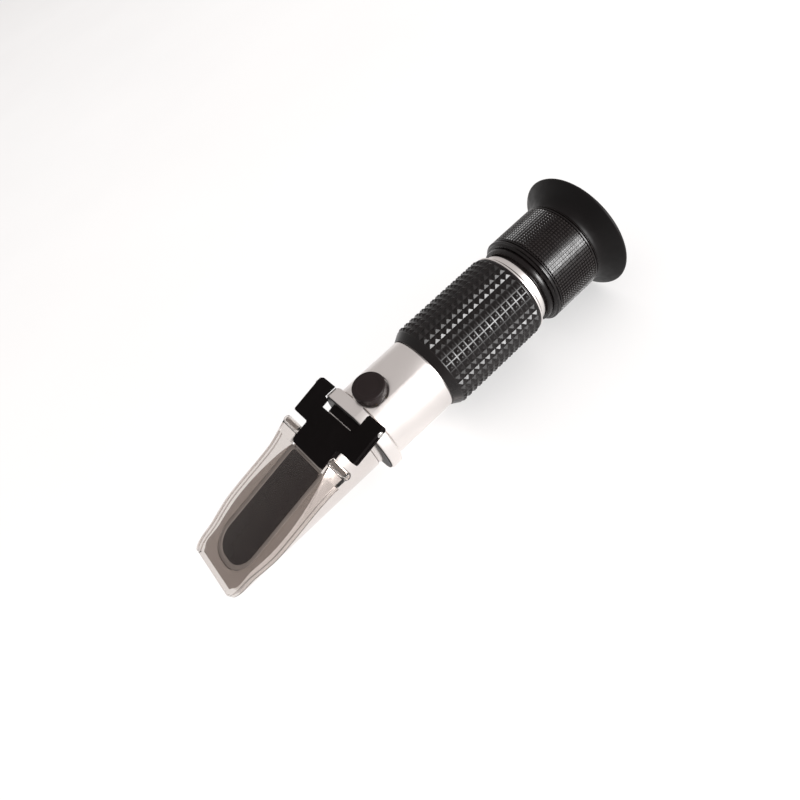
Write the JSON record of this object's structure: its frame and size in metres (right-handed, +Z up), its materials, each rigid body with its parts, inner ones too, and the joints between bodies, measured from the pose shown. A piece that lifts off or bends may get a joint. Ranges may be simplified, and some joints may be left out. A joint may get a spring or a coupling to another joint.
{
  "type": "handheld refractometer",
  "caption": "Handheld refractometer: sloping prism under a clear hinged plate, metal tube with pyramid-knurled grip, focusing eyepiece with flared eyecup.",
  "frame": {"origin": "centre of the collar nut's lower spanner flat, which faces down", "axes": "+X along the tube towards the eyepiece, +Z up towards the prism face and the calibration cap, Y across; the head is symmetric about Y = 0"},
  "size_m": [0.1569, 0.0414, 0.0414],
  "materials": {
    "satin_aluminium": "satin, fine turned grain",
    "black_plastic": "semi-matte moulded",
    "black_rubber": "matte moulded",
    "black_anodised": "semi-gloss black anodised",
    "clear_acrylic": "clear with a faint frost",
    "optical_glass": "polished, coated",
    "prism_glass": "polished, dark body behind",
    "sealant": "matte",
    "steel": "plain",
    "brass": "plain"
  },
  "bodies": {
    "body": {"prism_head": "satin_aluminium", "prism": "prism_glass", "prism_gasket": "sealant", "hinge_block": "black_plastic", "hinge_pin": "steel", "block_screw_left": "steel", "block_screw_right": "steel", "collar_nut": "satin_aluminium", "head_seal": "black_rubber", "main_tube": "satin_aluminium", "grip_sleeve": "black_rubber", "tail_ring": "satin_aluminium", "calibration_bush": "brass", "strip_guide_ring": "black_anodised", "reticle_holder": "black_anodised", "reticle": "optical_glass", "reticle_retainer": "black_anodised", "focus_neck": "black_anodised", "neck_o_ring": "black_rubber", "guide_pin": "steel"},
    "cover": {"daylight_plate": "clear_acrylic"},
    "screw_cap": {"screw_cap": "black_rubber"},
    "calibration_screw": {"calibration_screw": "steel"},
    "optics": {"optics_carriage": "black_anodised", "bimetal_strip": "brass", "strip_screw_front": "steel", "strip_screw_rear": "steel", "objective_cell": "black_anodised", "objective_lens": "optical_glass"},
    "eyepiece": {"eyepiece_barrel": "black_anodised", "field_lens": "optical_glass", "lens_spacer": "black_anodised", "eye_lens": "optical_glass", "lens_retainer": "black_anodised"},
    "focus": {"focus_ring": "black_anodised", "eyecup": "black_rubber"}
  },
  "joints": [
    {"name": "cover_hinge", "type": "hinge", "parent": "body", "child": "cover", "pos_m": [-0.0149, 0, 0.02091], "axis": [0, 1, 0], "range_deg": [0, 110]},
    {"name": "cap_pull", "type": "slide", "parent": "body", "child": "screw_cap", "axis": [0, -0.1942, 0.981], "range_m": [0, 0.01]},
    {"name": "calibration_turn", "type": "hinge", "parent": "body", "child": "calibration_screw", "pos_m": [0.0074, -0.00231, 0.02427], "axis": [0, -0.1942, 0.981], "range_deg": [-270, 270]},
    {"name": "objective_shift", "type": "slide", "parent": "body", "child": "optics", "axis": [0, -0.1942, 0.981], "range_m": [-0.0003375, 0.0003375]},
    {"name": "focus_slide", "type": "slide", "parent": "body", "child": "eyepiece", "axis": [1, 0, 0], "range_m": [0, 0.003]},
    {"name": "focus_turn", "type": "hinge", "parent": "eyepiece", "child": "focus", "pos_m": [0.0672, 0, 0.0126], "axis": [1, 0, 0], "range_deg": [0, 270]}
  ],
  "couplings": [
    {"joint": "calibration_turn", "follows": "objective_shift", "rad_per_m": 13963},
    {"joint": "focus_turn", "follows": "focus_slide", "rad_per_m": 1570.8}
  ]
}
